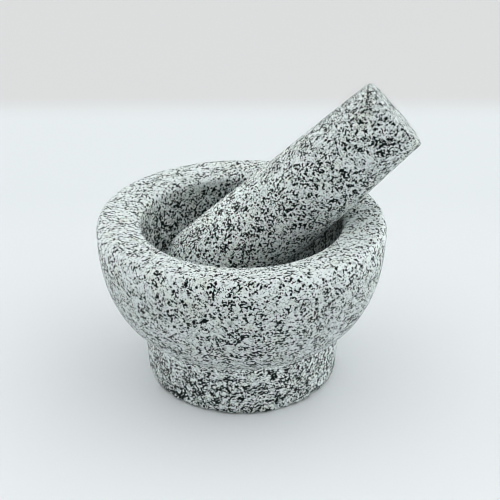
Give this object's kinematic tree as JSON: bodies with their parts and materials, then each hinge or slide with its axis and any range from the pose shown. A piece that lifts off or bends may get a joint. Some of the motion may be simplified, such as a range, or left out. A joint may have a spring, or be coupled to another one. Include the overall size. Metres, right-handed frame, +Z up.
{
  "type": "molcajete",
  "caption": "Footed granite mortar with a thick rounded rim and a bowl, and a loose tapered pestle with a rounded grinding end leaning on its lip.",
  "frame": {"origin": "centre of the foot's flat underside, on the axis that the mortar is turned on", "axes": "+Z up along the mortar's turning axis, +X towards the side that the pestle leans to, +Y away from the front view"},
  "size_m": [0.165, 0.15, 0.1562],
  "materials": {
    "mortar_granite": "honed light grey granite with dense black and grey flecks, rougher on the foot",
    "pestle_granite": "honed light grey granite with dense black and grey flecks"
  },
  "bodies": {
    "mortar": {"mortar": "mortar_granite"},
    "pestle": {"pestle": "pestle_granite"}
  },
  "joints": [
    {"name": "pestle_lift", "type": "slide", "parent": "mortar", "child": "pestle", "axis": [0, 0, 1], "range_m": [0, 0.1]}
  ]
}
